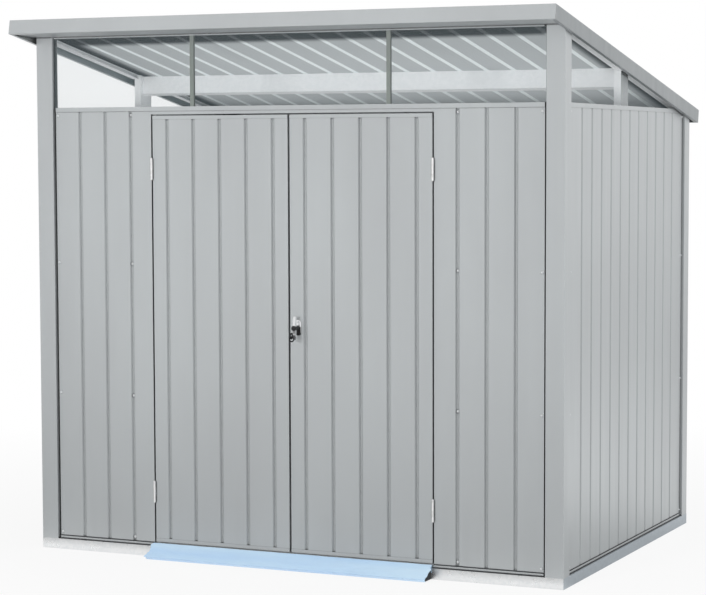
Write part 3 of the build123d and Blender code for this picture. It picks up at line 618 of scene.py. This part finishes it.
for share, width, depth, back in GRIP_RINGS:
    for way in (-1, 1):
        ring_middle = grip_middle + Vector((0, 0, way * share * grip_half))
        pick(grip, lambda co: abs(co.z - ring_middle.z) < RING_SLACK)
        bpy.ops.transform.resize(value=(width, depth, 1), center_override=ring_middle)
        bpy.ops.transform.translate(value=(0, back, 0))
        bpy.ops.object.mode_set(mode="OBJECT")
rounding = grip.modifiers.new("rounding", "SUBSURF")
rounding.levels = rounding.render_levels = 2
bpy.ops.object.modifier_apply(modifier="rounding")
barrel_foot = (grip_middle.x, grip_low.y + BARREL_SINK, KEY_LEVEL)
barrel = stud(barrel_foot, 32, BARREL_RADIUS, BARREL_HEIGHT, BARREL_ROUND, segments=2)
gather("latch_grip", [grip, barrel], chrome, "latch")
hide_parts("latch_lever")


def oval_ring(middle, turn, radius, wire, squash, ring_steps, wire_steps):
    """A ring of round wire about a point, turned into its plane and then squashed along the axes."""
    bpy.ops.object.select_all(action="DESELECT")
    bpy.ops.mesh.primitive_torus_add(major_segments=ring_steps, minor_segments=wire_steps,
                                     major_radius=radius, minor_radius=wire, location=middle, rotation=turn)
    ring = bpy.context.object
    bpy.ops.object.transform_apply(location=True, rotation=True, scale=False)
    bpy.ops.object.mode_set(mode="EDIT")
    bpy.ops.mesh.select_all(action="SELECT")
    bpy.ops.transform.resize(value=squash, center_override=middle)
    bpy.ops.object.mode_set(mode="OBJECT")
    return ring


KEY_BOW_SETBACK, KEY_HEAD_RADIUS, KEY_HEAD_WIRE, KEY_HEAD_SQUASH = 0.013, 0.0098, 0.0042, (0.62, 1, 1)
key_bow = Vector((grip_middle.x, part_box("latch_key")[0].y + KEY_BOW_SETBACK, KEY_LEVEL))
key_head = oval_ring(key_bow, (0, math.pi / 2, 0), KEY_HEAD_RADIUS, KEY_HEAD_WIRE, KEY_HEAD_SQUASH,
                     ring_steps=40, wire_steps=12)
key_plastic, key_tree, key_shader = new_finish("key_plastic", (0.012, 0.012, 0.013), 0.0, 0.35)
range_between(key_tree, clouds(key_tree, scale=400, detail=2), 0.28, 0.45, key_shader.inputs["Roughness"])
PLASTIC_GRAIN_DEPTH = 0.0001
relief(key_tree, key_shader, [(clouds(key_tree, scale=2500, detail=1), 0.15, PLASTIC_GRAIN_DEPTH)])
gather("latch_key_head", [key_head], key_plastic, "latch")

CAP_RADIUS, CAP_HEIGHT, CAP_ROUND, CAP_SINK = 0.0105, 0.0110, 0.0022, 0.0070
cap_foot = (grip_middle.x, grip_low.y + CAP_SINK, grip_middle.z)
cap = stud(cap_foot, 40, CAP_RADIUS, CAP_HEIGHT, CAP_ROUND, segments=4)
gather("latch_cap", [cap], key_plastic, "latch")

KEY_RING_RADIUS, KEY_RING_WIRE, KEY_RING_SQUASH = 0.0095, 0.0026, (1, 0.8, 1.03)
KEY_EYE_RADIUS, KEY_EYE_SLACK = 0.006, 0.0003
ring_drop = KEY_EYE_RADIUS - KEY_RING_WIRE - KEY_EYE_SLACK + KEY_RING_RADIUS
hung_from_key = key_bow - Vector((0, 0, ring_drop))
key_ring = oval_ring(hung_from_key, (math.pi / 2, 0, 0), KEY_RING_RADIUS, KEY_RING_WIRE, KEY_RING_SQUASH,
                     ring_steps=48, wire_steps=10)
ring_steel = polished("ring_steel", (0.05, 0.05, 0.053), 0.3)
gather("latch_key_ring", [key_ring], ring_steel, "latch")

BUSH_RADIUS, BUSH_LENGTH, BUSH_ROUND, BUSH_SINK = 0.0099, 0.0235, 0.0012, 0.001
REFLECTION_BAR_HALF, REFLECTION_BAR_ROUND, REFLECTION_BAR_PROUD, REFLECTION_BAR_SINK = 0.0125, 0.001, 0.0004, 0.001
REFLECTION_BAR_INSET, REFLECTION_BAR_RISE = 0.003, 0.004
bush_foot = (plate_middle.x, plate_low.y + BUSH_SINK, plate_middle.z)
bush = stud(bush_foot, 40, BUSH_RADIUS, BUSH_LENGTH, BUSH_ROUND, segments=3)
# A black bar over the escutcheon's lower half is painted reflection, standing for the dark floor that the
# chrome shows there.
reflection_front, reflection_rear = plate_low.y - REFLECTION_BAR_PROUD, plate_high.y - REFLECTION_BAR_SINK
reflection_foot, reflection_top = plate_low.z + REFLECTION_BAR_INSET, plate_middle.z + REFLECTION_BAR_RISE
reflection_bar = rounded_bar((plate_middle.x - REFLECTION_BAR_HALF, reflection_front, reflection_foot),
                        (plate_middle.x + REFLECTION_BAR_HALF, reflection_rear, reflection_top), REFLECTION_BAR_ROUND, segments=3)
gather("latch_bush", [bush, reflection_bar], key_plastic, "right_door")


# Screws: hexagon-headed self-drilling screws with a pressed flange and a sealing washer.
# They are driven through the sheets at each panel's edges and through the crests of the roof's ribs.
# One small domed screw of chromed steel holds the escutcheon.
SCREW_ACROSS, SCREW_HEAD, SCREW_ROUND = 0.0055, 0.004, 0.0006
FLANGE_RADIUS, FLANGE_HEIGHT, FLANGE_ROUND = 0.0046, 0.0011, 0.0004
WASHER_RADIUS, WASHER_HEIGHT, WASHER_ROUND = 0.0058, 0.0016, 0.0006
screw_steel, screw_tree, screw_shader = new_finish("screw_steel", (0.74, 0.76, 0.77), 0.45, 0.3)
screw_patches = clouds(screw_tree, scale=200, detail=2)
range_between(screw_tree, screw_patches, 0.25, 0.38, screw_shader.inputs["Roughness"])
flange_top = WASHER_HEIGHT + FLANGE_HEIGHT
head_radius = SCREW_ACROSS / 2 / math.cos(math.pi / 6)
screw = joined([upright_disc(14, WASHER_RADIUS, 0, WASHER_HEIGHT, WASHER_ROUND),
                upright_disc(14, FLANGE_RADIUS, WASHER_HEIGHT, flange_top, FLANGE_ROUND),
                upright_disc(6, head_radius, flange_top, flange_top + SCREW_HEAD, SCREW_ROUND)])


def drive_screws(name, places):
    """Screws at places, each a point and an outward direction, as one piece on the shed."""
    screws = copies_by(screw, [stood_at(point, outward) for point, outward in places])
    gather(name, screws, screw_steel, "shed")


SCREW_LEVELS, EDGE_INSET = (0.075, 0.68, 1.24, 1.866), 0.009
FIRST_GROOVE_X, GROOVE_DEPTH = 0.7425, 0.007
front_places = []
for wall, side in (("front_left_wall", -1), ("front_right_wall", 1)):
    low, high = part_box(wall)
    outer = (low.x if side < 0 else high.x) - side * EDGE_INSET
    for z in SCREW_LEVELS:
        front_places.append(((outer, low.y, z), TO_FRONT))
        front_places.append(((side * FIRST_GROOVE_X, low.y + GROOVE_DEPTH, z), TO_FRONT))
drive_screws("front_wall_screws", front_places)
side_places = []
for wall, side in (("left_wall", -1), ("right_wall", 1)):
    low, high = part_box(wall)
    face = low.x if side < 0 else high.x
    for y in (low.y + EDGE_INSET, high.y - EDGE_INSET):
        side_places += [((face, y, z), (side, 0, 0)) for z in SCREW_LEVELS]
drive_screws("side_wall_screws", side_places)
TO_REAR, REAR_TOP_INSET, REAR_SCREW_STEP = (0, 1, 0), 0.034, 4 * RIB_PITCH
low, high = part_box("rear_wall")
rear_levels = (*SCREW_LEVELS[:3], high.z - REAR_TOP_INSET)
rear_edges = (low.x + EDGE_INSET, high.x - EDGE_INSET)
rear_grooves = [step * REAR_SCREW_STEP for step in range(-2, 3)]
rear_places = [((x, high.y, z), TO_REAR) for z in rear_levels for x in rear_edges]
rear_places += [((x, high.y - GROOVE_DEPTH, z), TO_REAR) for z in rear_levels for x in rear_grooves]
drive_screws("rear_wall_screws", rear_places)
CREST_DROP, ROOF_ROWS = 0.010, (0.075, 0.98, 1.90)
off_roof = (0, math.sin(ROOF_PITCH), math.cos(ROOF_PITCH))
roof_places = [(on_roof @ Vector((x, row, -CREST_DROP)), off_roof) for x in rib_middles for row in ROOF_ROWS]
drive_screws("roof_screws", roof_places)
bpy.data.objects.remove(screw)
DOME_RADIUS, DOME_HEIGHT, DOME_ROUND = 0.0034, 0.0012, 0.0008
DOME_SINK, DOME_RISE = 0.0008, 0.0245
dome_foot = (plate_middle.x, plate_low.y + DOME_SINK, plate_middle.z + DOME_RISE)
dome = stud(dome_foot, 18, DOME_RADIUS, DOME_HEIGHT, DOME_ROUND, segments=3)
gather("escutcheon_screw", [dome], chrome, "right_door")


# Studio: a wide white floor and sky, a key light at the front, a fill at the right and one inside the shed.
# The floor and the sky are white where they are seen, and give the shed a softer light than that.
# In the sheet's shine the floor is dim close to the front and far out at the rear, and pale elsewhere.
FLOOR_REACH, FLOOR_DROP = 120.0, 0.0005
SHADOW_START, SHADOW_END, SHADOW_LEVEL = 1.5, 4.5, 0.88
INSIDE_MIDDLE, INSIDE_REACH = (0.0, 0.05), (1.17, 0.82)
SHINE_FRONT, SHINE_REAR = -14.0, 46.0
FLOOR_SHINE = ((-10.0, 0.85), (-6.0, 0.66), (-3.5, 0.22), (-2.2, 0.04), (-1.02, 0.04), (-0.96, 1.0),
               (-0.82, 1.0), (-0.76, 0.16), (0.4, 0.20), (1.4, 0.84), (2.5, 0.88), (9.0, 0.34), (18.0, 0.40),
               (36.0, 0.85))
bpy.ops.object.select_all(action="DESELECT")
bpy.ops.mesh.primitive_plane_add(size=FLOOR_REACH, location=(0, 0, -FLOOR_DROP))
floor = bpy.context.object
floor.name = "studio_floor"
bpy.ops.object.transform_apply(location=True)
floor_paper, floor_tree, floor_shader = new_finish("studio_paper", (0.82, 0.82, 0.82), 0.0, 0.9)
place = floor_tree.nodes.new("ShaderNodeTexCoord")
span = floor_tree.nodes.new("ShaderNodeVectorMath")
span.operation = "LENGTH"
floor_tree.links.new(place.outputs["Object"], span.inputs[0])
fade = ranged(floor_tree, span.outputs["Value"], SHADOW_START, SHADOW_END, SHADOW_LEVEL)
rays = floor_tree.nodes.new("ShaderNodeLightPath").outputs
seen = worked_out(floor_tree, "MAXIMUM", rays["Is Camera Ray"], rays["Is Transmission Ray"])
floor_axes = axes_of(floor_tree, "Object")
past_walls = []
for axis, middle, reach in zip("XY", INSIDE_MIDDLE, INSIDE_REACH):
    away = worked_out(floor_tree, "ABSOLUTE", worked_out(floor_tree, "SUBTRACT", floor_axes[axis], middle))
    past_walls.append(worked_out(floor_tree, "GREATER_THAN", away, reach))
outside = worked_out(floor_tree, "MAXIMUM", *past_walls)
white = worked_out(floor_tree, "MULTIPLY", worked_out(floor_tree, "MULTIPLY", outside, seen), fade)


def instead(tree, factor, first, second):
    """One surface where the factor is 0 and another where it is 1."""
    mix = tree.nodes.new("ShaderNodeMixShader")
    tree.links.new(factor, mix.inputs["Fac"])
    tree.links.new(first, mix.inputs[1])
    tree.links.new(second, mix.inputs[2])
    return mix.outputs["Shader"]


glow = floor_tree.nodes.new("ShaderNodeEmission")
glow.inputs["Color"].default_value = (1, 1, 1, 1)
shine_ramp = floor_tree.nodes.new("ShaderNodeValToRGB")
for y, level in FLOOR_SHINE:
    stop = shine_ramp.color_ramp.elements.new((y - SHINE_FRONT) / (SHINE_REAR - SHINE_FRONT))
    stop.color = (level, level, level, 1)
for end in (0, -1):
    level = FLOOR_SHINE[end][1]
    shine_ramp.color_ramp.elements[end].color = (level, level, level, 1)
floor_tree.links.new(ranged(floor_tree, floor_axes["Y"], SHINE_FRONT, SHINE_REAR), shine_ramp.inputs["Fac"])
shine = floor_tree.nodes.new("ShaderNodeEmission")
floor_tree.links.new(shine_ramp.outputs["Color"], shine.inputs["Color"])
paper = instead(floor_tree, white, floor_shader.outputs["BSDF"], glow.outputs["Emission"])
surface = instead(floor_tree, rays["Is Glossy Ray"], paper, shine.outputs["Emission"])
floor_tree.links.new(surface, floor_tree.nodes["Material Output"].inputs["Surface"])
floor.data.materials.append(floor_paper)
floor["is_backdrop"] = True

AMBIENT_STRENGTH, SHINE_STRENGTH = 0.55, 0.30
world = bpy.data.worlds.new("studio_sky")
bpy.context.scene.world = world
world.use_nodes = True
sky_tree = world.node_tree
sky = sky_tree.nodes["Background"]
sky.inputs["Color"].default_value = (1, 1, 1, 1)
sky_rays = sky_tree.nodes.new("ShaderNodeLightPath").outputs
sky_seen = worked_out(sky_tree, "MAXIMUM", sky_rays["Is Camera Ray"], sky_rays["Is Transmission Ray"])
sky_light = worked_out(sky_tree, "MULTIPLY_ADD", sky_rays["Is Glossy Ray"], SHINE_STRENGTH, AMBIENT_STRENGTH)
sky_tree.links.new(worked_out(sky_tree, "MAXIMUM", sky_seen, sky_light), sky.inputs["Strength"])


def softbox(name, place, target, width, height, power):
    """A flat area light at a place, facing a target, that leaves no glare on the sheet."""
    data = bpy.data.lights.new(name, "AREA")
    data.shape = "RECTANGLE"
    data.size = width
    data.size_y = height
    data.energy = power
    lamp = bpy.data.objects.new(name, data)
    lamp.location = place
    lamp.rotation_euler = (Vector(target) - Vector(place)).to_track_quat("-Z", "Y").to_euler()
    lamp.visible_glossy = False
    bpy.context.scene.collection.objects.link(lamp)
    return lamp


softbox("key_light", (-0.4, -7.4, 1.45), target=(0, -0.8, 1.6), width=1.2, height=0.6, power=262)
softbox("right_fill", (7.5, -0.3, 1.5), target=(1.2, 0.0, 1.6), width=1.2, height=0.6, power=240)
roof_fill = softbox("roof_fill", (0, -0.05, 1.70), target=(0, -0.03, 3.0), width=2.25, height=1.25, power=6.2)
roof_fill.visible_camera = False


# Camera: the photograph's place and angle, found from the shed's straight edges.
# Its picture is 706 by 595 pixels, and the shift is that of the picture's own centre.
PICTURE_WIDTH = 706
FOCAL_PIXELS = 2191.4
CENTRE_SHIFT_PIXELS = (40, 17)
CAMERA_PLACE = (4.0041, -8.8095, 1.7036)
HEADING, PITCH, ROLL = (math.radians(angle) for angle in (23.819, -4.205, -0.105))
camera_data = bpy.data.cameras.new("camera")
camera_data.sensor_width = 36.0
camera_data.lens = FOCAL_PIXELS * camera_data.sensor_width / PICTURE_WIDTH
camera_data.shift_x = -CENTRE_SHIFT_PIXELS[0] / PICTURE_WIDTH
camera_data.shift_y = CENTRE_SHIFT_PIXELS[1] / PICTURE_WIDTH
camera = bpy.data.objects.new("camera", camera_data)
bpy.context.scene.collection.objects.link(camera)
tilt = Matrix.Rotation(math.pi / 2 + PITCH, 4, "X") @ Matrix.Rotation(ROLL, 4, "Z")
camera.matrix_world = Matrix.Translation(CAMERA_PLACE) @ Matrix.Rotation(HEADING, 4, "Z") @ tilt
bpy.context.scene.camera = camera
bpy.context.scene.view_settings.view_transform = "Standard"


# Sizes: the box of the dressed shed. The film, the foot strips and the screws stay within the roof's outline.
low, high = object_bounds()
